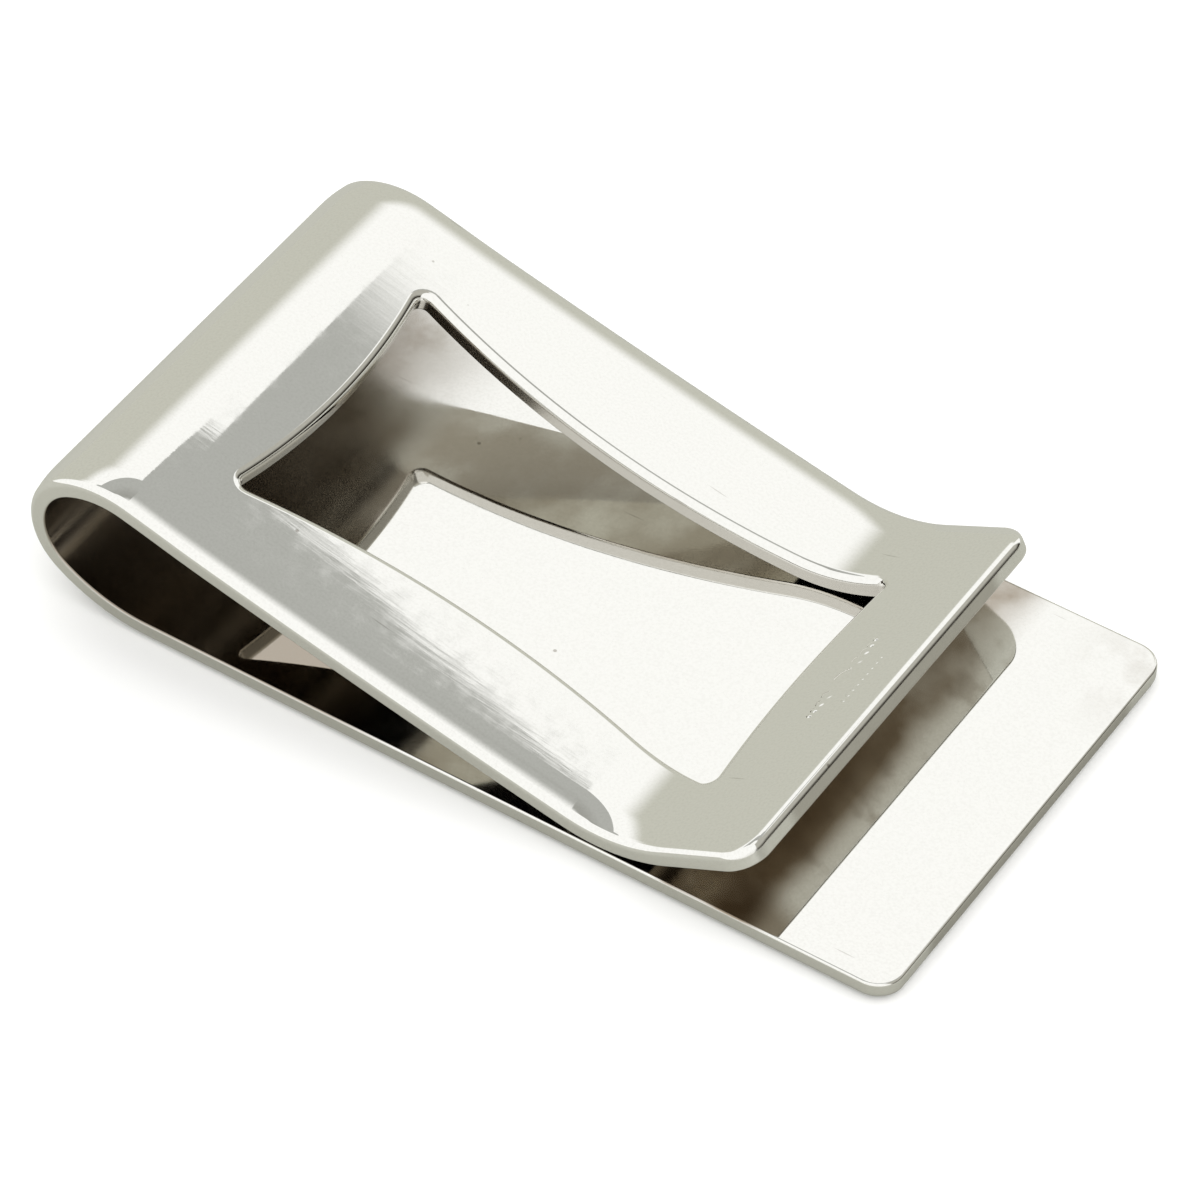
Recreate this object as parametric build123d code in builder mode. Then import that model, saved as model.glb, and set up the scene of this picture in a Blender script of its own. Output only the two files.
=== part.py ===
from build123d import *
import os
from math import cos, radians, sin

# A money clip folded from one strip of sterling silver. The back plate lies flat on z = 0 with its
# outer face down. The strip turns up and over at the closed end (-X), comes back down towards the
# plate as the front leaf, pinches it at the nip and turns up again as the lip. The clip flexes at
# the closed end, so the bend there is divided into segments that hinge on its outer face.

os.makedirs("parts", exist_ok=True)

# ---- Driving sizes, in millimetres and degrees ----
clip_length = 47.6
clip_width = 25.4
sheet = 1.1
outer_round = 0.45
inner_round = 0.15
plate_corner = 1.4
lip_corner = 1.6
nip_gap = 0.15

# The bends, as radii of the strip's outer face and the angles that they turn through.
foot_radius = 8.8
foot_turn = 36.0
spine_turn = 117.0
spine_segments = 3
shoulder_radius = 5.35
heel_slope = 14.9
crest_run = 2.4
crest_turn = 1.5
heel_run = 2.4
heel_straightening = 2.1
rail_run = 20.4
rail_straightening = 2.3
nip_radius = 7.4
lip_slope = 27.2
lip_run = 5.1

# The window in the front leaf, whose four sides all bow inwards.
window_heel = 8.6
window_toe = 35.0
window_half_width = 7.85
heel_bow = 0.9
toe_bow = 0.5
side_bow = 1.7
window_corner = 0.45


class Station:
    """A cross-section of the strip: a point of its outer face and the heading of the strip there."""

    def __init__(self, x, z, heading):
        self.x = x
        self.z = z
        self.heading = heading

    def along(self):
        return Vector(cos(radians(self.heading)), 0, sin(radians(self.heading)))

    def inward(self):
        return Vector(sin(radians(self.heading)), 0, -cos(radians(self.heading)))

    def point(self):
        return Vector(self.x, 0, self.z)

    def after_bend(self, radius, turn):
        """The station at the end of a bend. A positive turn closes the loop, a negative one opens it."""
        signed = radius if turn > 0 else -radius
        start = radians(self.heading)
        end = radians(self.heading - turn)
        x = self.x + signed * (sin(start) - sin(end))
        z = self.z + signed * (cos(end) - cos(start))
        return Station(x, z, self.heading - turn)


# ---- Layout of the strip ----
# The leaf's height follows from its lowest point, where it almost touches the plate. The rise from
# there back to the shoulder sets how high the spine has to climb, and so the spine's radius.
shoulder_turn = 180 + heel_slope - foot_turn - spine_turn
crest_slope = heel_slope + crest_turn
rail_slope = crest_slope - heel_straightening
nip_slope = rail_slope - rail_straightening
crest_radius = crest_run / radians(crest_turn)
heel_radius = heel_run / radians(heel_straightening)
rail_radius = rail_run / radians(rail_straightening)
nip_height = 2 * sheet + nip_gap
crest_rise = crest_radius * (cos(radians(heel_slope)) - cos(radians(crest_slope)))
heel_rise = heel_radius * (cos(radians(rail_slope)) - cos(radians(crest_slope)))
rail_rise = rail_radius * (cos(radians(nip_slope)) - cos(radians(rail_slope)))
nip_rise = nip_radius * (1 - cos(radians(nip_slope)))
foot_rise = foot_radius * (1 - cos(radians(foot_turn)))
spine_end_heading = 180 - foot_turn - spine_turn
shoulder_rise = shoulder_radius * (cos(radians(heel_slope)) - cos(radians(spine_end_heading)))
leaf_rise = nip_rise + rail_rise + heel_rise + crest_rise
spine_rise = nip_height + leaf_rise - foot_rise - shoulder_rise
spine_radius = spine_rise / (cos(radians(spine_end_heading)) + cos(radians(foot_turn)))

# The spine's outermost point stands at the closed end of the clip.
closed_end = -clip_length / 2
free_end = clip_length / 2
foot_reach = foot_radius * sin(radians(foot_turn))
spine_reach = spine_radius * (1 - sin(radians(foot_turn)))
foot = Station(closed_end + foot_reach + spine_reach, 0, 180)
spine = foot.after_bend(foot_radius, foot_turn)
shoulder = spine.after_bend(spine_radius, spine_turn)
leaf = shoulder.after_bend(shoulder_radius, shoulder_turn)
crest = leaf.after_bend(crest_radius, crest_turn)
rail = crest.after_bend(heel_radius, -heel_straightening)
nip = rail.after_bend(rail_radius, -rail_straightening)
lip = nip.after_bend(nip_radius, -(nip_slope + lip_slope))


def strip_bend(start, radius, turn):
    """Adds the stretch of strip that bends from this station, with its long edges rounded."""
    section_plane = Plane(origin=start.point(), x_dir=(0, 1, 0), z_dir=start.along())
    with BuildSketch(section_plane) as section:
        with Locations((0, -sheet / 2)):
            Rectangle(clip_width, sheet)
        fillet(section.vertices().group_by(Axis.Y)[-1], outer_round)
        fillet(section.vertices().group_by(Axis.Y)[0], inner_round)
    side = 1 if turn > 0 else -1
    centre = start.point() + start.inward() * radius * side
    revolve(section.sketch, axis=Axis(centre, (0, side, 0)), revolution_arc=abs(turn))


def strip_end(seam, run, corner):
    """Adds a flat stretch that ends free, with rounded corners. The seam plane lies on the outer
    face, its x towards the free end and its z into the sheet."""
    with BuildSketch(seam) as outline:
        with Locations((run / 2, 0)):
            Rectangle(run, clip_width)
        fillet(outline.vertices().group_by(Axis.X)[-1], corner)
    flat = extrude(outline.sketch, amount=sheet)

    def rim(depth):
        mid_points = [(edge, seam.to_local_coords(edge @ 0.5)) for edge in flat.edges()]
        return [edge for edge, mid in mid_points if abs(mid.Z - depth) < 1e-4 and mid.X > 1e-4]

    fillet(rim(0), outer_round)
    fillet(rim(sheet), inner_round)


def cut_window():
    """Cuts the front leaf's window straight down through whatever is here."""
    heel_x = closed_end + window_heel
    toe_x = closed_end + window_toe
    middle_x = (heel_x + toe_x) / 2
    with BuildSketch(Plane.XY) as window:
        with BuildLine():
            for side in (-1, 1):
                corner_y = side * window_half_width
                ThreePointArc((heel_x, corner_y), (middle_x, corner_y - side * side_bow), (toe_x, corner_y))
            for end_x, bow in ((heel_x, heel_bow), (toe_x, -toe_bow)):
                ThreePointArc((end_x, -window_half_width), (end_x + bow, 0), (end_x, window_half_width))
        make_face()
        fillet(window.vertices(), window_corner)
    extrude(window.sketch, amount=clip_width, mode=Mode.SUBTRACT)


# ---- The back plate: the flat side, which also carries the clip on a table ----
with BuildPart() as back_plate:
    strip_end(Plane(origin=foot.point(), x_dir=(1, 0, 0), z_dir=(0, 0, 1)), free_end - foot.x, plate_corner)
back_plate.part.label = "back_plate"
export_step(back_plate.part, "parts/back_plate.step")


# ---- The spring bend, in segments that meet face to face ----
bends = [(foot_radius, foot_turn)]
bends += [(spine_radius, spine_turn / spine_segments)] * spine_segments
bends += [(shoulder_radius, shoulder_turn)]
segment_start = foot
hinge_lines = [foot]
for number, (radius, turn) in enumerate(bends, start=1):
    with BuildPart() as spring_bend:
        strip_bend(segment_start, radius, turn)
    spring_bend.part.label = f"spring_bend_{number}"
    export_step(spring_bend.part, f"parts/spring_bend_{number}.step")
    segment_start = segment_start.after_bend(radius, turn)
    hinge_lines.append(segment_start)


# ---- The front leaf: a heel band, two rails beside the window, and the turned-up lip ----
with BuildPart() as front_heel:
    strip_bend(leaf, crest_radius, crest_turn)
    strip_bend(crest, heel_radius, -heel_straightening)
    cut_window()
front_heel.part.label = "front_heel"
export_step(front_heel.part, "parts/front_heel.step")

for name, kept_side in (("front_rail_left", Keep.BOTTOM), ("front_rail_right", Keep.TOP)):
    with BuildPart() as front_rail:
        strip_bend(rail, rail_radius, -rail_straightening)
        cut_window()
        split(bisect_by=Plane.XZ, keep=kept_side)
    front_rail.part.label = name
    export_step(front_rail.part, f"parts/{name}.step")

with BuildPart() as front_lip:
    strip_end(Plane(origin=lip.point(), x_dir=lip.along(), z_dir=lip.inward()), lip_run, lip_corner)
    strip_bend(nip, nip_radius, -(nip_slope + lip_slope))
    cut_window()
front_lip.part.label = "front_lip"
export_step(front_lip.part, "parts/front_lip.step")


# ---- The hinge lines that the joints use ----
for number, line in enumerate(hinge_lines, start=1):
    print(f"hinge {number}: x {line.x:.4f}  z {line.z:.4f}  heading {line.heading:.3f}")
print(f"spine radius {spine_radius:.4f}, rail x {rail.x:.3f}, nip x {nip.x:.3f}, lip x {lip.x:.3f}")
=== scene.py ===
from math import ceil, cos, pi, radians, sin, sqrt, tan

import bpy
import numpy as np
from mathutils import Matrix, Vector
from mathutils.geometry import delaunay_2d_cdt


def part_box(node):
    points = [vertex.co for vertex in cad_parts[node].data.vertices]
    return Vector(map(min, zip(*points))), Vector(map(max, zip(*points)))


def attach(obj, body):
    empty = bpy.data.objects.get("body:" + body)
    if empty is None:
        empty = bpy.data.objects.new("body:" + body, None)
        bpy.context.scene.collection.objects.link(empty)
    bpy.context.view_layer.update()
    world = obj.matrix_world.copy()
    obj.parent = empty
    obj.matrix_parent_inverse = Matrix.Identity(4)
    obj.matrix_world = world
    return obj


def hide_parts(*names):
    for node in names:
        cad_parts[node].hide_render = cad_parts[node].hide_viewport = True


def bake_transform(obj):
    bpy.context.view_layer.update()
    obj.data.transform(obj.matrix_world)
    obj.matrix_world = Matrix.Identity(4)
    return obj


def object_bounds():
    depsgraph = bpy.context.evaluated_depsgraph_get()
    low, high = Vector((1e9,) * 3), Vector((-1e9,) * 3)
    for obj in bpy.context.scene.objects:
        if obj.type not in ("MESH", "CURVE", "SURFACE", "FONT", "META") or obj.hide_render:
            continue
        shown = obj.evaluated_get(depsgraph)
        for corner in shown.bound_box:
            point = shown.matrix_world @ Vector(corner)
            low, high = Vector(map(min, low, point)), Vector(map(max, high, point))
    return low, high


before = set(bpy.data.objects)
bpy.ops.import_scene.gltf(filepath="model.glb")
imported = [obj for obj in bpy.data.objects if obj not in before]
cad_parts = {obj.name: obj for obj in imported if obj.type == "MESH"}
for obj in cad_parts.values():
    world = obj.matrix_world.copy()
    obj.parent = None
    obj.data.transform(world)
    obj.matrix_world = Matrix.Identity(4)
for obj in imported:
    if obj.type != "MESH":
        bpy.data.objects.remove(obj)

# The looks of a money clip folded from one strip of silver. The strip is laid out flat first, as a
# blank, and then bent along the same path as the CAD. Everything here is in millimetres and degrees
# until it is placed, and the path starts at the back plate's free end.

cad_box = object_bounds()
MM = 0.001

# ---- Sizes from the frame ----
plate_low, plate_high = (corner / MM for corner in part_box("back_plate"))
half_width = plate_high.y
free_end = plate_high.x
closed_end = cad_box[0].x / MM
sheet = plate_high.z - plate_low.z

# ---- Sizes that the CAD also has ----
outer_round = 0.45
inner_round = 0.15
plate_corner = 1.4
lip_corner = 1.6
nip_gap = 0.15
foot_radius = 8.8
foot_turn = 36.0
spine_turn = 117.0
spine_bodies = 3
shoulder_radius = 5.35
heel_slope = 14.9
crest_run = 2.4
crest_turn = 1.5
heel_run = 2.4
heel_straightening = 2.1
rail_run = 20.4
rail_straightening = 2.3
nip_radius = 7.4
lip_slope = 27.2
lip_run = 5.1
window_heel = 8.6
window_toe = 35.0
window_half_width = 7.85
heel_bow = 0.9
toe_bow = 0.5
side_bow = 1.7
window_corner = 0.45

# ---- Wear, which the CAD leaves out: the outer face falls off towards the long edges ----
crown_reach = 1.3
crown_slope = 11.0

# ---- How fine the mesh is ----
bend_row_step = 0.16
flat_row_step = 0.7
tight_curvature = 0.05
shortest_row_step = 0.03
middle_column_step = 1.5
falling_columns = 6
outer_round_steps = 10
inner_round_steps = 4
end_corner_steps = 12
end_step = 0.5
window_step = 0.3
window_corner_steps = 8
clear_of_outline = 0.12
clear_of_fillet = 0.02


# ---- The path of the strip's outer face ----
class Path:
    """A chain of straight runs and bends in the X-Z plane, measured by the distance along it."""

    def __init__(self, x, z, heading):
        self.starts = [(0.0, x, z, radians(heading), 0.0)]
        self.length = 0.0

    def add(self, length, turn=0.0):
        """A stretch of this length. A positive turn closes the loop, a negative one opens it."""
        x, z = self.point(self.length)
        heading = self.heading(self.length)
        self.starts.append((self.length, x, z, float(heading), radians(turn) / length))
        self.length += length

    def stretch(self, s):
        """The start of the stretch that holds each run: its run, x, z, heading and curvature."""
        table = np.array(self.starts)
        index = np.clip(np.searchsorted(table[:, 0], s, side="right") - 1, 0, len(table) - 1)
        return table[index].T

    def heading(self, s):
        start, _, _, heading, curvature = self.stretch(np.asarray(s, float))
        return heading - curvature * (s - start)

    def point(self, s):
        s = np.asarray(s, float)
        start, x, z, heading, curvature = self.stretch(s)
        end = heading - curvature * (s - start)
        straight = np.abs(curvature) < 1e-9
        safe = np.where(straight, 1.0, curvature)
        bent_x = (np.sin(heading) - np.sin(end)) / safe
        bent_z = (np.cos(end) - np.cos(heading)) / safe
        run = s - start
        return (
            x + np.where(straight, np.cos(heading) * run, bent_x),
            z + np.where(straight, np.sin(heading) * run, bent_z),
        )

    def place(self, blank):
        """Points of the blank, as rows of run, width and depth from the outer face, bent to shape."""
        s, y, depth = np.asarray(blank, float).T
        x, z = self.point(s)
        heading = self.heading(s)
        return np.column_stack([x + np.sin(heading) * depth, y, z - np.cos(heading) * depth])

    def direct(self, s, vectors):
        """Directions given as rows of along, across and inward, turned to where the strip heads."""
        along, across, inward = np.asarray(vectors, float).T
        heading = self.heading(s)
        return np.column_stack([
            along * np.cos(heading) + inward * np.sin(heading),
            across,
            along * np.sin(heading) - inward * np.cos(heading),
        ])


shoulder_turn = 180 + heel_slope - foot_turn - spine_turn
crest_slope = heel_slope + crest_turn
rail_slope = crest_slope - heel_straightening
nip_slope = rail_slope - rail_straightening
crest_radius = crest_run / radians(crest_turn)
heel_radius = heel_run / radians(heel_straightening)
rail_radius = rail_run / radians(rail_straightening)
spine_heading = 180 - foot_turn - spine_turn
nip_rise = nip_radius * (1 - cos(radians(nip_slope)))
crest_rise = crest_radius * (cos(radians(heel_slope)) - cos(radians(crest_slope)))
heel_rise = heel_radius * (cos(radians(rail_slope)) - cos(radians(crest_slope)))
rail_rise = rail_radius * (cos(radians(nip_slope)) - cos(radians(rail_slope)))
foot_rise = foot_radius * (1 - cos(radians(foot_turn)))
shoulder_rise = shoulder_radius * (cos(radians(heel_slope)) - cos(radians(spine_heading)))
leaf_rise = nip_rise + rail_rise + heel_rise + crest_rise
spine_rise = 2 * sheet + nip_gap + leaf_rise - foot_rise - shoulder_rise
spine_radius = spine_rise / (cos(radians(spine_heading)) + cos(radians(foot_turn)))
foot_sine = sin(radians(foot_turn))
foot_x = closed_end + foot_radius * foot_sine + spine_radius * (1 - foot_sine)

strip = Path(free_end, plate_low.z, 180)
hinge_runs = []
strip.add(free_end - foot_x)
hinge_runs.append(strip.length)
bends = [(foot_radius, foot_turn)]
bends += [(spine_radius, spine_turn / spine_bodies)] * spine_bodies
bends += [(shoulder_radius, shoulder_turn)]
for radius, turn in bends:
    strip.add(radius * radians(turn), turn)
    hinge_runs.append(strip.length)
strip.add(crest_run, crest_turn)
strip.add(heel_run, -heel_straightening)
strip.add(rail_run, -rail_straightening)
nip_run = strip.length
nip_turn = nip_slope + lip_slope
strip.add(nip_radius * radians(nip_turn), -nip_turn)
lip_start = strip.length
lip_x = float(strip.point(lip_start)[0])
strip.add(lip_run)


def run_at(x):
    """The run along the front leaf at which its outer face has this x."""
    runs = np.linspace(hinge_runs[-1], strip.length, 2001)
    return float(np.interp(x, strip.point(runs)[0], runs))


# ---- Outlines in the blank ----
def fillet_between(before, corner, after, radius):
    """The two tangent points and the centre of a fillet, from the directions of both sides."""
    to_before = (before - corner) / np.linalg.norm(before - corner)
    to_after = (after - corner) / np.linalg.norm(after - corner)
    half_angle = 0.5 * np.arccos(np.clip(to_before @ to_after, -1, 1))
    reach = radius / tan(half_angle)
    middle = (to_before + to_after) / np.linalg.norm(to_before + to_after)
    centre = corner + middle * radius / sin(half_angle)
    return corner + to_before * reach, corner + to_after * reach, centre


def arc_points(start, end, centre, steps):
    """Points from start to end about the centre, the short way round."""
    first = np.arctan2(*(start - centre)[::-1])
    sweep = (np.arctan2(*(end - centre)[::-1]) - first + pi) % (2 * pi) - pi
    angles = first + sweep * np.linspace(0, 1, steps + 1)
    reach = np.linalg.norm(start - centre)
    return centre + reach * np.column_stack([np.cos(angles), np.sin(angles)])


def bowed_side(start, end, bow, spacing):
    """Points along a side whose middle is moved by the bow to the right of its direction."""
    chord = end - start
    right = np.array([chord[1], -chord[0]]) / np.linalg.norm(chord)
    steps = max(2, ceil(np.linalg.norm(chord) / spacing))
    share = np.linspace(0, 1, steps + 1)[:, None]
    if abs(bow) < 1e-6:
        return start + chord * share
    radius = (chord @ chord / 4 + bow * bow) / (2 * bow)
    centre = (start + end) / 2 + right * (bow - radius)
    return arc_points(start, end, centre, steps)


def rounded_loop(corners, bows, radii, spacing, corner_steps):
    """A closed loop of sides and fillets, with the normal to the right of its direction."""
    count = len(corners)
    sides = [
        bowed_side(corners[i], corners[(i + 1) % count], bows[i], spacing)
        for i in range(count)
    ]
    points = []
    normals = []
    for i in range(count):
        side = sides[i]
        following = sides[(i + 1) % count]
        before = fillet_between(sides[i - 1][-2], side[0], side[1], radii[i])[1]
        cut = fillet_between(side[-2], side[-1], following[1], radii[(i + 1) % count])
        start_reach = np.linalg.norm(before - side[0])
        end_reach = np.linalg.norm(cut[0] - side[-1])
        from_start = np.linalg.norm(side - side[0], axis=1)
        from_end = np.linalg.norm(side - side[-1], axis=1)
        past_start = from_start > start_reach + clear_of_fillet
        before_end = from_end > end_reach + clear_of_fillet
        kept = side[past_start & before_end]
        run = np.vstack([before, kept, cut[0]])
        tangent = np.gradient(run, axis=0)
        tangent /= np.linalg.norm(tangent, axis=1)[:, None]
        points.append(run)
        normals.append(np.column_stack([tangent[:, 1], -tangent[:, 0]]))
        bend = arc_points(cut[0], cut[1], cut[2], corner_steps)[1:-1]
        away = (bend - cut[2]) / np.linalg.norm(bend - cut[2], axis=1)[:, None]
        if away[len(away) // 2] @ normals[-1][-1] < 0:
            away = -away
        points.append(bend)
        normals.append(away)
    return np.vstack(points), np.vstack(normals)


def face_columns(inset):
    """Places across a face that ends this far inside the long edges, closer where it falls off."""
    end = half_width - inset
    falling = half_width - outer_round - np.linspace(0, crown_reach, falling_columns + 1)[1:]
    steps = ceil(2 * falling[-1] / middle_column_step)
    middle = np.linspace(-falling[-1], falling[-1], steps + 1)
    return np.concatenate([[-end], -falling[:-1], middle, falling[-2::-1], [end]])


def worn(blank, facing):
    """Rows of the blank and its normals, with the outer face falling off towards the long edges."""
    side = np.sign(blank[:, 1])
    share = np.clip((np.abs(blank[:, 1]) - half_width + outer_round) / crown_reach + 1, 0, 1)
    slope = tan(radians(crown_slope))
    fall = slope * crown_reach / 2 * share**2
    shifted = blank.copy()
    shifted[:, 2] += fall * (1 - blank[:, 2] / sheet)
    turned = facing.copy()
    turned[:, 1] += side * slope * share * np.clip(-facing[:, 2], 0, 1)
    return shifted, turned


def rim_profile():
    """The sheet's edge in section, from its outer face to its inner face, as rows of inset, depth,
    and the sideways and inward parts of the normal."""
    rows = []
    for angle in np.linspace(90, 0, outer_round_steps + 1):
        a = radians(angle)
        depth = outer_round * (1 - sin(a))
        rows.append((outer_round * (1 - cos(a)), depth, cos(a), -sin(a)))
    for angle in np.linspace(0, 90, inner_round_steps + 1):
        a = radians(angle)
        depth = sheet - inner_round * (1 - sin(a))
        rows.append((inner_round * (1 - cos(a)), depth, cos(a), sin(a)))
    return np.array(rows)


# ---- Mesh building in the blank ----
class Skin:
    """Faces of a piece, with the blank's coordinates and the true normal at every corner."""

    def __init__(self):
        self.points = []
        self.normals = []
        self.faces = []
        self.count = 0

    def corners(self, points, normals):
        first = self.count
        self.points.append(np.asarray(points, float))
        self.normals.append(np.asarray(normals, float))
        self.count += len(points)
        return first

    def grid(self, points, normals, flip=False):
        """A patch of rows by columns of points."""
        rows, columns = points.shape[:2]
        first = self.corners(points.reshape(-1, 3), normals.reshape(-1, 3))
        for i in range(rows - 1):
            for j in range(columns - 1):
                a = first + i * columns + j
                face = (a, a + 1, a + columns + 1, a + columns)
                self.faces.append(face[::-1] if flip else face)

    def sheet_face(self, loops, depth, row_runs, inner):
        """The outer or the inner face of the sheet, inside the first loop and outside the others."""
        points = list(loops)
        edges = []
        first = 0
        for loop in loops:
            edges += [(first + i, first + (i + 1) % len(loop)) for i in range(len(loop))]
            first += len(loop)
        points.append(grid_inside(loops, row_runs))
        flat = np.vstack(points)
        vectors = [Vector((float(p[0]), float(p[1]))) for p in flat]
        found = delaunay_2d_cdt(vectors, edges, [], 0, 1e-7, True)
        order = [ids[0] for ids in found[3]]
        corners = np.column_stack([flat[order], np.full(len(order), depth)])
        normals = np.tile((0.0, 0.0, 1.0 if inner else -1.0), (len(order), 1))
        start = self.corners(corners, normals)
        middles = np.array([corners[list(face), :2].mean(axis=0) for face in found[2]])
        kept = inside(loops[0], middles)
        for loop in loops[1:]:
            kept &= ~inside(loop, middles)
        for face in (face for face, keep in zip(found[2], kept) if keep):
            area = 0.0
            for i in range(len(face)):
                p, q = corners[face[i]], corners[face[(i + 1) % len(face)]]
                area += p[0] * q[1] - q[0] * p[1]
            outward = (area > 0) != inner
            ids = [start + i for i in face]
            self.faces.append(tuple(ids) if outward else tuple(ids[::-1]))

    def cap(self, run, along):
        """Closes the piece at a seam, with one flat face over the corners found there."""
        points = np.vstack(self.points)
        here = points[np.abs(points[:, 0] - run) < 1e-6]
        here = here[np.unique(np.round(here, 5), axis=0, return_index=True)[1]]
        middle = here.mean(axis=0)
        angle = np.arctan2(here[:, 2] - middle[2], (here[:, 1] - middle[1]) / half_width)
        ring = here[np.argsort(angle)]
        first = self.corners(ring, np.tile((along, 0.0, 0.0), (len(ring), 1)))
        face = tuple(range(first, first + len(ring)))
        self.faces.append(face[::-1] if along > 0 else face)

    def make(self, name):
        """The Blender object, bent along the strip's path, with its normals and blank stored."""
        blank = np.vstack(self.points)
        shifted, turned = worn(blank, np.vstack(self.normals))
        bent = strip.place(shifted)
        normals = strip.direct(blank[:, 0], turned)
        normals /= np.linalg.norm(normals, axis=1)[:, None]
        rounded = np.round(bent, 5)
        _, keep, merged = np.unique(rounded, axis=0, return_index=True, return_inverse=True)
        merged = merged.ravel()
        faces = [tuple(int(merged[i]) for i in face) for face in self.faces]
        mesh = bpy.data.meshes.new(name)
        mesh.from_pydata((bent[keep] * MM).tolist(), [], faces)
        mesh.polygons.foreach_set("use_smooth", [True] * len(faces))
        mesh.update()
        layout = mesh.attributes.new("blank", "FLOAT_VECTOR", "POINT")
        layout.data.foreach_set("vector", blank[keep].astype(np.float32).ravel())
        corner_normals = [normals[i].tolist() for face in self.faces for i in face]
        mesh.normals_split_custom_set(corner_normals)
        piece = bpy.data.objects.new(name, mesh)
        bpy.context.scene.collection.objects.link(piece)
        return piece


def inside(loop, points):
    """Which of the points lie inside the loop."""
    x, y = points[:, 0][:, None], points[:, 1][:, None]
    x1, y1 = loop[:, 0], loop[:, 1]
    x2, y2 = np.roll(x1, -1), np.roll(y1, -1)
    crosses = (y1 > y) != (y2 > y)
    rise = np.where(np.abs(y2 - y1) < 1e-12, 1e-12, y2 - y1)
    return (crosses & (x < x1 + (y - y1) / rise * (x2 - x1))).sum(axis=1) % 2 == 1


def grid_inside(loops, row_runs):
    """Points in rows at these runs, inside the first loop, outside the others and clear of all."""
    columns = face_columns(outer_round)[1:-1]
    rows = np.array(row_runs)
    gaps = np.gradient(rows)
    grid = np.array([(s, y, gap) for s, gap in zip(rows, gaps) for y in columns])
    kept = inside(loops[0], grid[:, :2])
    for loop in loops[1:]:
        kept &= ~inside(loop, grid[:, :2])
    border = np.vstack(loops)
    away = np.sqrt(((grid[:, None, :2] - border[None]) ** 2).sum(axis=2)).min(axis=1)
    kept &= away > np.maximum(0.4 * grid[:, 2], clear_of_outline)
    return grid[kept, :2]


def rows_between(start, end):
    """Runs from start to end, close together where the strip bends tightly."""
    runs = [start]
    while runs[-1] < end - 1e-9:
        just_after = np.asarray(runs[-1] + 0.01)
        curvature = abs(strip.stretch(just_after)[4])
        step = bend_row_step if curvature > tight_curvature else flat_row_step
        runs.append(min(end, runs[-1] + step))
        for border in (*hinge_runs, nip_run, lip_start):
            if runs[-2] < border - 1e-6 < runs[-1]:
                runs[-1] = border
    if runs[-1] - runs[-2] < shortest_row_step:
        del runs[-2]
    return runs


def rim_strip(skin, points, normals, closed):
    """The sheet's edge along an outline, as a patch that joins the two faces."""
    profile = rim_profile()
    if closed:
        points = np.vstack([points, points[:1]])
        normals = np.vstack([normals, normals[:1]])
    patch = np.zeros((len(points), len(profile), 3))
    facing = np.zeros_like(patch)
    for j, (inset, depth, sideways, inward) in enumerate(profile):
        patch[:, j, :2] = points - normals * inset
        patch[:, j, 2] = depth
        facing[:, j, :2] = normals * sideways
        facing[:, j, 2] = inward
    skin.grid(patch, facing)


def free_end_outline(seam, end, corner):
    """The rim of a piece that ends free, from its seam round the end and back to the seam, and the
    normals that point out of the sheet. It keeps the sheet on its left."""
    toward = 1 if end > seam else -1
    runs = np.array(rows_between(min(seam, end), max(seam, end)))
    if toward < 0:
        runs = runs[::-1]
    runs = runs[np.abs(runs - seam) < abs(end - seam) - corner - clear_of_fillet]
    side = -half_width * toward
    out = np.column_stack([runs, np.full(len(runs), side)])
    inner_end = end - toward * corner
    inner_side = half_width - corner
    turn = np.linspace(0, pi / 2, end_corner_steps + 1)[:, None]
    first = np.array([inner_end, side + corner * toward])
    reach = corner * np.hstack([toward * np.sin(turn), -toward * np.cos(turn)])
    bend_one = first + reach
    steps = ceil(2 * inner_side / end_step)
    cross = np.linspace(-inner_side * toward, inner_side * toward, steps + 1)[1:-1]
    across = np.column_stack([np.full(len(cross), end), cross])
    second = np.array([inner_end, -side - corner * toward])
    reach_two = corner * np.hstack([toward * np.cos(turn), toward * np.sin(turn)])
    bend_two = second + reach_two
    back = np.column_stack([runs[::-1], np.full(len(runs), -side)])
    points = np.vstack([out, bend_one, across, bend_two, back])
    normals = np.vstack([
        np.tile((0.0, -toward), (len(out), 1)),
        reach / corner,
        np.tile((toward, 0.0), (len(across), 1)),
        reach_two / corner,
        np.tile((0.0, toward), (len(back), 1)),
    ])
    return points, normals


def end_piece(name, seam, end, corner, window=None):
    """The free stretch of the strip beyond a seam, with its window if it has one."""
    skin = Skin()
    points, normals = free_end_outline(seam, end, corner)
    rim_strip(skin, points, normals, closed=False)
    rows = rows_between(min(seam, end), max(seam, end))[1:-1]
    for depth, inset, inner in ((0.0, outer_round, False), (sheet, inner_round, True)):
        rim = points - normals * inset
        across = face_columns(inset)[1:-1] * np.sign(rim[0, 1])
        seam_points = np.column_stack([np.full(len(across), seam), across])
        loops = [np.vstack([rim, seam_points])]
        if window is not None:
            loops.append(window[0] - window[1] * inset)
        skin.sheet_face(loops, depth, rows, inner)
    if window is not None:
        rim_strip(skin, window[0], window[1], closed=True)
    skin.cap(seam, -1.0 if end > seam else 1.0)
    return skin.make(name)


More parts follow.
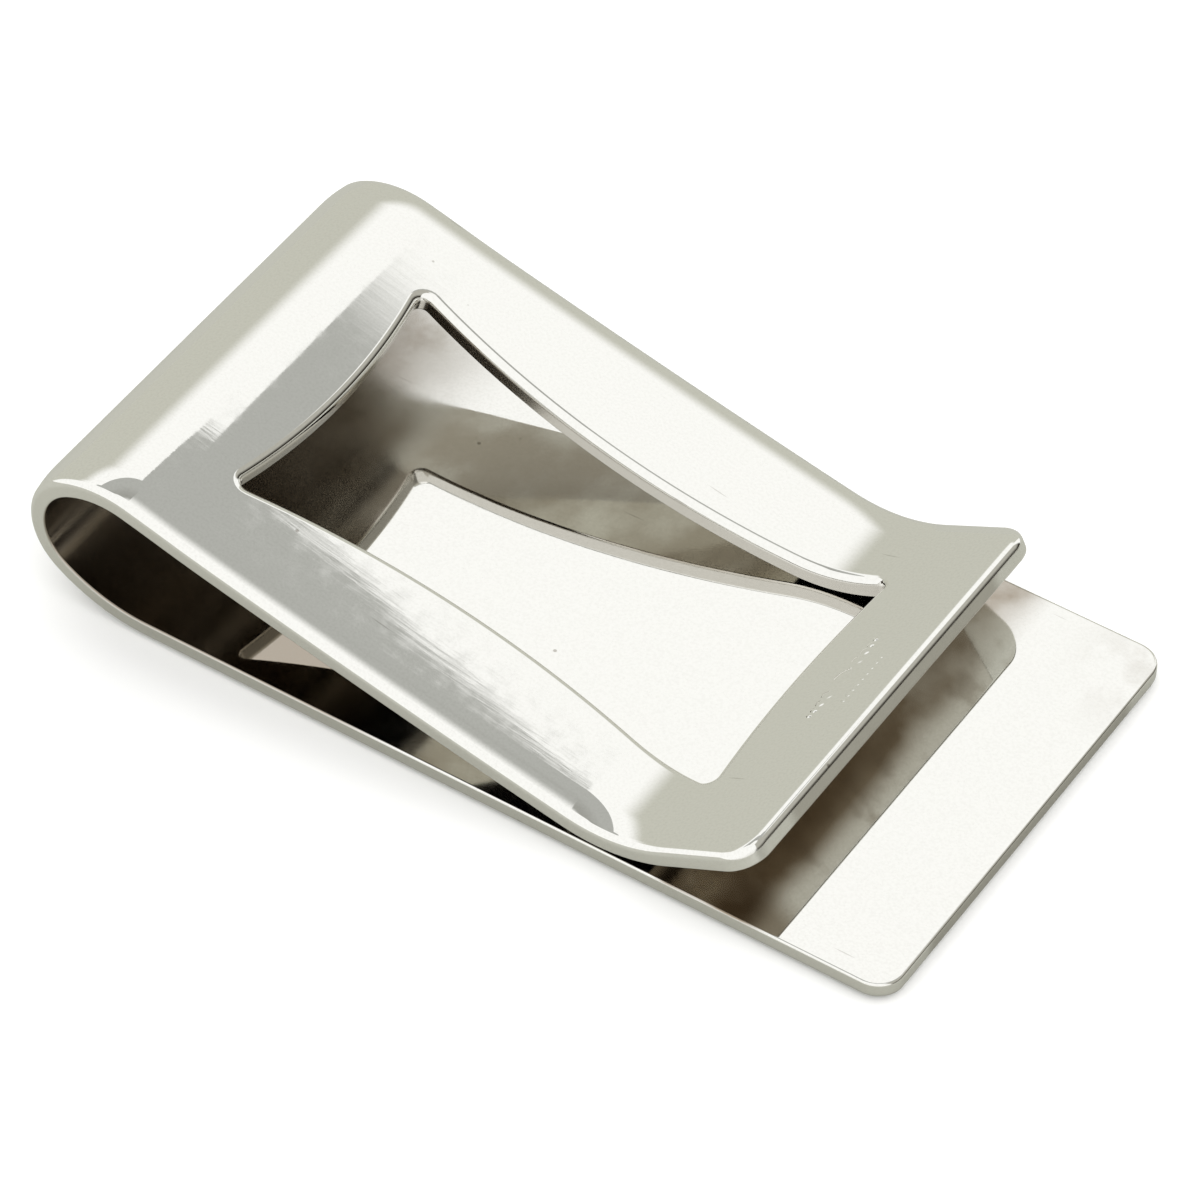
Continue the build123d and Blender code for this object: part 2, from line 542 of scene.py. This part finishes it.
def bent_piece(name, start, end):
    """A stretch of the strip between two seams, as one patch round its section."""
    skin = Skin()
    runs = rows_between(start, end)
    profile = rim_profile()
    section = []
    for inset, depth, sideways, inward in profile:
        section.append((half_width - inset, depth, sideways, inward))
    section += [(-y, sheet, 0.0, 1.0) for y in face_columns(inner_round)[1:-1]]
    for inset, depth, sideways, inward in profile[::-1]:
        section.append((inset - half_width, depth, -sideways, inward))
    section += [(y, 0.0, 0.0, -1.0) for y in face_columns(outer_round)[1:-1]]
    section.append(section[0])
    section = np.array(section)
    points = np.zeros((len(runs), len(section), 3))
    normals = np.zeros_like(points)
    points[:, :, 0] = np.array(runs)[:, None]
    points[:, :, 1] = section[:, 0]
    points[:, :, 2] = section[:, 1]
    normals[:, :, 1] = section[:, 2]
    normals[:, :, 2] = section[:, 3]
    skin.grid(points, normals, flip=True)
    skin.cap(start, -1.0)
    skin.cap(end, 1.0)
    return skin.make(name)


def window_loop():
    """The front leaf's window in the blank. The normals point out of the sheet, into the window."""
    heel = run_at(closed_end + window_heel)
    toe = run_at(closed_end + window_toe)
    corners = np.array([
        (heel, -window_half_width),
        (heel, window_half_width),
        (toe, window_half_width),
        (toe, -window_half_width),
    ])
    bows = (heel_bow, side_bow, toe_bow, side_bow)
    radii = [window_corner] * len(corners)
    return rounded_loop(corners, bows, radii, window_step, window_corner_steps)


# ---- The ornament on the lip, a plain relief that the CAD leaves out ----
ornament_run = lip_start + 2.0
ornament_middle = 0.35
ornament_sink = 0.03
lozenge_along = 0.5
lozenge_across = 0.85
lozenge_height = 0.07
lozenge_power = 1.2
round_power = 2.0
bead_places = (1.35, 2.0, 2.52, 2.95)
bead_sizes = (0.34, 0.27, 0.21, 0.16)
bead_height = 0.06
dots_each_side = 4
dot_row = 1.15
dot_spacing = 0.42
dot_size = 0.13
dot_height = 0.03
dome_turns = 24
dome_rings = 6


def dome(skin, place, along, across, height, power):
    """A low closed dome on the outer face, whose foot is a little below it. The foot is an ellipse at
    a power of 2 and a lozenge at a power of 1."""
    turns = np.linspace(0, 2 * pi, dome_turns + 1)[:-1]
    size = (np.abs(np.cos(turns)) ** power + np.abs(np.sin(turns)) ** power) ** (-1 / power)
    foot = np.column_stack([along * size * np.cos(turns), across * size * np.sin(turns)])
    rise = height + ornament_sink
    centre = np.array(place)
    top = skin.corners([(*place, -height)], [(0.0, 0.0, -1.0)])
    firsts = []
    for share in np.linspace(0, 1, dome_rings + 1)[1:]:
        depth = ornament_sink - rise * sqrt(1 - share**2)
        points = np.column_stack([centre + foot * share, np.full(dome_turns, depth)])
        lean = 2 * share * height / along
        normals = np.column_stack([foot / along * lean, np.full(dome_turns, -1.0)])
        firsts.append(skin.corners(points, normals))
    base = np.column_stack([centre + foot, np.full(dome_turns, ornament_sink)])
    below = skin.corners(base, np.tile((0.0, 0.0, 1.0), (dome_turns, 1)))
    for i in range(dome_turns):
        j = (i + 1) % dome_turns
        skin.faces.append((top, firsts[0] + i, firsts[0] + j))
        for inner, outer in zip(firsts[:-1], firsts[1:]):
            skin.faces.append((outer + i, outer + j, inner + j, inner + i))
    skin.faces.append(tuple(reversed(range(below, below + dome_turns))))


def lip_ornament():
    """A lozenge between two rows of shrinking beads, over a row of dots."""
    skin = Skin()
    middle = (ornament_run, ornament_middle)
    dome(skin, middle, lozenge_along, lozenge_across, lozenge_height, lozenge_power)
    for side in (-1, 1):
        for distance, size in zip(bead_places, bead_sizes):
            place = (ornament_run, ornament_middle + side * distance)
            dome(skin, place, size, size, bead_height, round_power)
    for i in range(-dots_each_side, dots_each_side + 1):
        place = (ornament_run + dot_row, ornament_middle + dot_spacing * i)
        dome(skin, place, dot_size, dot_size, dot_height, round_power)
    return skin.make("lip_ornament")


# ---- The pieces of the strip ----
seam_reach = 1.2
seam_runs = [hinge_runs[0] - seam_reach]
seam_runs += [(a + b) / 2 for a, b in zip(hinge_runs[:-1], hinge_runs[1:])]
seam_runs += [hinge_runs[-1] + seam_reach]


def build_strip(silver):
    """All of the strip, in pieces: the plate and the leaf ride on a body each, the bends between them
    ride on none, and the ornament rides on the front.
    """
    plate = end_piece("strip_back_plate", seam_runs[0], 0.0, plate_corner)
    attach(plate, "back")
    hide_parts("back_plate")
    leaf = end_piece("strip_front_leaf", seam_runs[-1], strip.length, lip_corner, window_loop())
    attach(leaf, "front")
    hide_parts("front_heel", "front_rail_left", "front_rail_right", "front_lip")
    ornament = lip_ornament()
    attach(ornament, "front")
    pieces = [plate, leaf, ornament]
    for i, hinge in enumerate(hinge_runs):
        bend = bent_piece(f"strip_bend_{i + 1}", seam_runs[i], seam_runs[i + 1])
        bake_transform(bend)
        if i < len(hinge_runs) - 1:
            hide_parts(f"spring_bend_{i + 1}")
        pieces.append(bend)
    for piece in pieces:
        piece.data.materials.append(silver)
    return pieces


# ---- Material ----
class Nodes:
    """Short ways to add and join shader nodes."""

    def __init__(self, tree):
        self.tree = tree
        self.tree.nodes.clear()

    def add(self, kind, **settings):
        node = self.tree.nodes.new(kind)
        for key, value in settings.items():
            setattr(node, key, value)
        return node

    def put(self, value, socket):
        if isinstance(value, bpy.types.NodeSocket):
            self.tree.links.new(value, socket)
        else:
            socket.default_value = value

    def math(self, operation, a, b=0.0, c=0.0):
        node = self.add("ShaderNodeMath", operation=operation)
        for value, socket in zip((a, b, c), node.inputs):
            self.put(value, socket)
        return node.outputs[0]

    def step(self, value, low, high, to_low=0.0, to_high=1.0, smooth=True):
        """Goes from to_low to to_high as the value goes from low to high."""
        kind = "SMOOTHSTEP" if smooth else "LINEAR"
        node = self.add("ShaderNodeMapRange", interpolation_type=kind, clamp=True)
        for value_in, key in ((value, 0), (low, 1), (high, 2), (to_low, 3), (to_high, 4)):
            self.put(value_in, node.inputs[key])
        return node.outputs[0]

    def product(self, first, *others):
        for factor in others:
            first = self.math("MULTIPLY", first, factor)
        return first

    def largest(self, first, *others):
        for value in others:
            first = self.math("MAXIMUM", first, value)
        return first

    def mix(self, share, a, b):
        node = self.add("ShaderNodeMix", data_type="RGBA")
        self.put(share, node.inputs["Factor"])
        for value, socket in ((a, node.inputs[6]), (b, node.inputs[7])):
            if isinstance(value, tuple) and len(value) == 3:
                value = (*value, 1.0)
            self.put(value, socket)
        return node.outputs[2]

    def moved(self, coordinate, stretch=(1, 1, 1), offset=(0, 0, 0), turn=0.0):
        node = self.add("ShaderNodeMapping")
        self.put(coordinate, node.inputs["Vector"])
        node.inputs["Scale"].default_value = stretch
        node.inputs["Location"].default_value = offset
        node.inputs["Rotation"].default_value = (0.0, 0.0, turn)
        return node.outputs[0]

    def noise(self, coordinate, scale, detail, stretch=(1, 1, 1), offset=(0, 0, 0)):
        node = self.add("ShaderNodeTexNoise")
        self.put(self.moved(coordinate, stretch, offset), node.inputs["Vector"])
        node.inputs["Scale"].default_value = scale
        node.inputs["Detail"].default_value = detail
        return node.outputs["Fac"]

    def spots(self, coordinate, scale):
        """The distance from the nearest of many scattered points."""
        node = self.add("ShaderNodeTexVoronoi", feature="F1")
        self.put(coordinate, node.inputs["Vector"])
        node.inputs["Scale"].default_value = scale
        return node.outputs["Distance"]


# Tones of the silver.
bright_tone = (0.955, 0.95, 0.925)
# Tarnish, which also carries the painted shade under the leaf and in the loop, and the painted
# reflection under the lip.
tarnish_and_shade_tone = (0.36, 0.30, 0.23)
# Painted shade inside the loop: dark brown, standing in for the shade and dark reflections deep in the
# loop.
loop_shade_tone = (0.25, 0.21, 0.165)
# Painted shade on the walls of the sheet, for the shaded floor near the clip that they reflect.
wall_shade_tone = (0.80, 0.79, 0.74)
# Painted shade on the walls of the window, which also reaches the middle of the two end walls.
middle_wall_shade_tone = (0.36, 0.33, 0.28)
grain_tone = (0.45, 0.44, 0.40)
mark_tone = (0.30, 0.27, 0.23)

# Where tarnish, painted shade and the painted reflection begin and end. Each pair is the start and the
# end of a fade, along the strip, or across it if its name says so. On the plate, the run is the
# distance from the free end.
run_below_lip = free_end - lip_x
# Where the painted shade inside the loop begins and ends, and where it eases towards the sides.
loop_begins = (hinge_runs[0] - 6.0, hinge_runs[0] + 2.0)
loop_ends = (hinge_runs[-1] + 3.0, hinge_runs[-1])
loop_sides_across = (10.0, half_width)
# Where the painted shade under the leaf begins and ends.
leaf_begins = (hinge_runs[-1], hinge_runs[-1] + 3.0)
leaf_ends = (nip_run + 5.5, nip_run + 8.5)
# Where the painted reflection on the plate under the lip begins and ends.
lip_reflection_begins = (run_below_lip - 6.4, run_below_lip - 4.0)
lip_reflection_ends = (run_below_lip - 0.6, run_below_lip + 0.4)
near_patch_begins = (26.0, 31.0)
near_patch_across = (-7.5, -9.5)
corner_patch = (5.0, 0.5)
corner_patch_across = (5.0, 12.0)


def silver_material():
    """Polished silver: bright outside, with painted shade on its walls, inside the loop and under the
    leaf, a painted reflection on the plate under the lip, and a darker patch, light tarnish and marks.
    """
    material = bpy.data.materials.new("polished_silver")
    material.use_nodes = True
    nodes = Nodes(material.node_tree)
    blank = nodes.add("ShaderNodeAttribute", attribute_name="blank").outputs["Vector"]
    parts = nodes.add("ShaderNodeSeparateXYZ")
    nodes.put(blank, parts.inputs[0])
    run, across, depth = parts.outputs
    from_middle = nodes.math("ABSOLUTE", across)

    # The inner face, and the walls of the sheet between its two rounded edges.
    inner = nodes.step(depth, sheet - 0.12, sheet - 0.02)
    below_round = nodes.step(depth, 0.25, 0.4)
    wall = nodes.product(below_round, nodes.step(depth, sheet - 0.02, sheet - 0.1))
    # Painted shade on walls near the middle: the window's walls and the middle of the two end walls.
    middle_wall_shade_share = nodes.step(from_middle, 8.5, 9.5, 0.55, 0.0)

    # Darker places on the inner face: painted shade inside the loop and under the leaf, a painted
    # reflection on the plate under the lip, a darker band along the near side from the plate into the
    # loop, and light tarnish at the far corner of the plate's free end.
    loop = nodes.step(run, *loop_begins)
    towards_sides = nodes.step(from_middle, *loop_sides_across, 1.0, 0.6)
    deep = nodes.product(loop, nodes.step(run, *loop_ends), towards_sides)
    # Painted shade on the underside of the leaf, from the loop to past the nip.
    shade_under_leaf = nodes.product(nodes.step(run, *leaf_begins), nodes.step(run, *leaf_ends, 1.0, 0.0))
    # Painted reflection: the plate under the lip is darkened where it mirrors the leaf's dark
    # underside.
    painted_lip_reflection = nodes.step(run, *lip_reflection_begins)
    painted_lip_reflection = nodes.product(painted_lip_reflection, nodes.step(run, *lip_reflection_ends, 1.0, 0.0))
    near_patch = nodes.product(
        nodes.step(run, *near_patch_begins),
        nodes.step(across, *near_patch_across),
        nodes.math("SUBTRACT", 1.0, shade_under_leaf),
    )
    corner = nodes.product(nodes.step(run, *corner_patch), nodes.step(across, *corner_patch_across))

    # Tarnish and the painted shade and reflection lie in clouds, with smaller smudges.
    clouds = nodes.step(nodes.noise(blank, 0.16, 5.0), 0.38, 0.66)
    smudges = nodes.noise(blank, 0.5, 6.0, offset=(7, 3, 0))
    painted_shade_clouds = nodes.largest(shade_under_leaf, nodes.product(painted_lip_reflection, 1.8))
    painted_shade_clouds = nodes.product(painted_shade_clouds, nodes.math("MULTIPLY_ADD", clouds, 0.45, 0.30))
    smudged_shade = nodes.product(nodes.largest(loop, painted_lip_reflection), nodes.step(smudges, 0.50, 0.72))
    corner = nodes.product(corner, nodes.step(smudges, 0.42, 0.62))
    tarnish_and_shade = nodes.largest(
        painted_shade_clouds,
        nodes.product(smudged_shade, 0.45),
        nodes.product(corner, 0.18),
        nodes.product(near_patch, 0.85),
    )
    # Painted shade deep inside the loop, in light clouds.
    painted_loop_shade = nodes.product(deep, nodes.math("MULTIPLY_ADD", clouds, 0.2, 0.75))
    # On the inner face: tarnish, painted shade and the painted reflection, then the deeper painted
    # shade in the loop.
    colour = nodes.mix(nodes.product(inner, tarnish_and_shade), bright_tone, tarnish_and_shade_tone)
    colour = nodes.mix(nodes.product(inner, painted_loop_shade), colour, loop_shade_tone)
    # Painted shade on the walls: a little on all of them.
    colour = nodes.mix(nodes.product(wall, 0.5), colour, wall_shade_tone)
    # More painted shade on the window's walls and the middle of the two end walls.
    colour = nodes.mix(nodes.product(wall, middle_wall_shade_share), colour, middle_wall_shade_tone)

    # Fine grain everywhere, with dark specks and short scratches far apart.
    grain = nodes.noise(blank, 7.0, 3.0, offset=(3, 1, 5))
    colour = nodes.mix(nodes.step(grain, 0.35, 0.75, 0.0, 0.10), colour, grain_tone)
    specks = nodes.step(nodes.spots(blank, 0.28), 0.018, 0.035, 1.0, 0.0)
    slanting = nodes.moved(blank, stretch=(0.12, 1.6, 1.0), turn=0.5)
    scratches = nodes.step(nodes.spots(slanting, 0.6), 0.02, 0.05, 0.5, 0.0)
    colour = nodes.mix(nodes.product(nodes.largest(specks, scratches), 0.6), colour, mark_tone)

    roughness = nodes.step(nodes.noise(blank, 1.3, 4.0, offset=(2, 9, 4)), 0.3, 0.8, 0.015, 0.045)
    roughness = nodes.math("MULTIPLY_ADD", wall, 0.2, roughness)
    roughness = nodes.math("MULTIPLY_ADD", nodes.product(inner, deep), 0.22, roughness)
    roughness = nodes.math("MULTIPLY_ADD", nodes.product(inner, painted_shade_clouds), 0.10, roughness)

    # Polishing lines, long along the strip and fine across it, over a faint unevenness.
    lines = nodes.noise(blank, 1.0, 4.0, stretch=(0.25, 2.6, 1))
    unevenness = nodes.noise(blank, 0.22, 1.0)
    bump = nodes.add("ShaderNodeBump")
    bump.inputs["Strength"].default_value = 1.0
    bump.inputs["Distance"].default_value = 0.0003 * MM
    nodes.put(nodes.math("MULTIPLY_ADD", unevenness, 6.0, lines), bump.inputs["Height"])

    shader = nodes.add("ShaderNodeBsdfPrincipled")
    shader.inputs["Metallic"].default_value = 1.0
    nodes.put(colour, shader.inputs["Base Color"])
    nodes.put(roughness, shader.inputs["Roughness"])
    nodes.put(bump.outputs[0], shader.inputs["Normal"])
    output = nodes.add("ShaderNodeOutputMaterial")
    nodes.put(shader.outputs[0], output.inputs["Surface"])
    return material


# ---- Camera ----
def make_camera():
    """A long lens, from above the near side and a little towards the free end."""
    azimuth = radians(31.52)
    elevation = radians(45.86)
    roll = radians(2.01)
    distance = 332.5
    aim = Vector((-3.9, 6.2, -5.4))
    back = Vector((sin(azimuth) * cos(elevation), -cos(azimuth) * cos(elevation), sin(elevation)))
    camera_data = bpy.data.cameras.new("camera")
    camera_data.lens = 207.2
    camera_data.sensor_width = 36.0
    camera_data.clip_start = 0.01
    camera_data.clip_end = 20.0
    camera = bpy.data.objects.new("camera", camera_data)
    turned = (-back).to_track_quat("-Z", "Y").to_matrix() @ Matrix.Rotation(roll, 3, "Z")
    camera.matrix_world = Matrix.Translation((aim + back * distance) * MM) @ turned.to_4x4()
    bpy.context.scene.collection.objects.link(camera)
    bpy.context.scene.camera = camera


# ---- Studio ----
def make_floor():
    """A plain pale floor, wide enough for every view. Only the camera sees it pale: in the silver, and
    to every other ray, it is darker and warmer. That darker copy is painted shade, for the shaded
    floor around the clip that the silver reflects."""
    reach = 0.9
    drop = 0.02 * MM
    corners = [(-reach, -reach, 0), (reach, -reach, 0), (reach, reach, 0), (-reach, reach, 0)]
    mesh = bpy.data.meshes.new("floor")
    mesh.from_pydata(corners, [], [(0, 1, 2, 3)])
    floor = bpy.data.objects.new("floor", mesh)
    floor.location.z = -drop
    bpy.context.scene.collection.objects.link(floor)
    material = bpy.data.materials.new("pale_floor")
    material.use_nodes = True
    nodes = Nodes(material.node_tree)
    seen = nodes.add("ShaderNodeBsdfDiffuse")
    seen.inputs["Color"].default_value = (0.9, 0.9, 0.89, 1)
    # Painted shade: the floor as the silver and other rays see it.
    shaded_floor = nodes.add("ShaderNodeBsdfDiffuse")
    shaded_floor.inputs["Color"].default_value = (0.385, 0.385, 0.345, 1)
    mixed = nodes.add("ShaderNodeMixShader")
    nodes.put(nodes.add("ShaderNodeLightPath").outputs["Is Camera Ray"], mixed.inputs[0])
    nodes.put(shaded_floor.outputs[0], mixed.inputs[1])
    nodes.put(seen.outputs[0], mixed.inputs[2])
    output = nodes.add("ShaderNodeOutputMaterial")
    nodes.put(mixed.outputs[0], output.inputs["Surface"])
    mesh.materials.append(material)


def make_world():
    """Soft white studio light. The camera and diffuse rays see plain white. Reflections see white on
    the camera's side, a beige backdrop low on the left, a grey panel high at the back, and a dark
    room on the right."""
    world = bpy.data.worlds.new("studio")
    bpy.context.scene.world = world
    world.use_nodes = True
    nodes = Nodes(world.node_tree)
    direction = nodes.add("ShaderNodeTexCoord").outputs["Generated"]
    parts = nodes.add("ShaderNodeSeparateXYZ")
    nodes.put(direction, parts.inputs[0])
    x, y, z = parts.outputs
    to_degrees = 180 / pi
    bearing = nodes.math("MULTIPLY", nodes.math("ARCTAN2", x, y), to_degrees)
    height = nodes.math("MULTIPLY", nodes.math("ARCSINE", z), to_degrees)

    white = (1.02, 1.02, 1.0)
    beige = (0.57, 0.57, 0.50)
    grey = (0.45, 0.455, 0.43)
    deeper_grey = (0.36, 0.36, 0.335)
    dim = (0.46, 0.45, 0.40)
    brown = (0.020, 0.015, 0.011)

    # Each pair is the start and the end of a fade, in degrees above the horizon or of bearing.
    beige_to_white = (33, 46)
    panel_bottom = (54.75, 54.85)
    panel_top = (74, 78)
    panel_deepens = (62, 74)
    room_brightens = (6, 34)
    right_grey_bottom = (52.5, 53.5)
    right_white_top = (70, 78)
    room_begins = (17, 26)
    middle_bearing = (-0.05, 0.05)
    camera_side = (96, 104)

    left = nodes.mix(nodes.step(height, *beige_to_white), beige, white)
    panel = nodes.product(nodes.step(height, *panel_bottom), nodes.step(height, *panel_top, 1, 0))
    panel_tone = nodes.mix(nodes.step(height, *panel_deepens), grey, deeper_grey)
    left = nodes.mix(panel, left, panel_tone)
    room = nodes.mix(nodes.step(height, *room_brightens), brown, dim)
    right = nodes.mix(nodes.step(height, *right_grey_bottom), white, grey)
    right = nodes.mix(nodes.step(bearing, *room_begins), right, room)
    right = nodes.mix(nodes.step(height, *right_white_top), right, white)
    back = nodes.mix(nodes.step(bearing, *middle_bearing), left, right)
    sideways = nodes.math("ABSOLUTE", bearing)
    colour = nodes.mix(nodes.step(sideways, *camera_side), back, white)

    seen = nodes.add("ShaderNodeBackground")
    nodes.put(colour, seen.inputs["Color"])
    plain = nodes.add("ShaderNodeBackground")
    plain.inputs["Color"].default_value = (1.0, 1.0, 1.0, 1)
    plain.inputs["Strength"].default_value = 1.6
    paths = nodes.add("ShaderNodeLightPath")
    direct = nodes.math("MAXIMUM", paths.outputs["Is Camera Ray"], paths.outputs["Is Diffuse Ray"])
    mixed = nodes.add("ShaderNodeMixShader")
    nodes.put(direct, mixed.inputs[0])
    nodes.put(seen.outputs[0], mixed.inputs[1])
    nodes.put(plain.outputs[0], mixed.inputs[2])
    output = nodes.add("ShaderNodeOutputWorld")
    nodes.put(mixed.outputs[0], output.inputs["Surface"])


make_camera()
make_floor()
make_world()
bpy.context.scene.view_settings.view_transform = "Standard"
build_strip(silver_material())
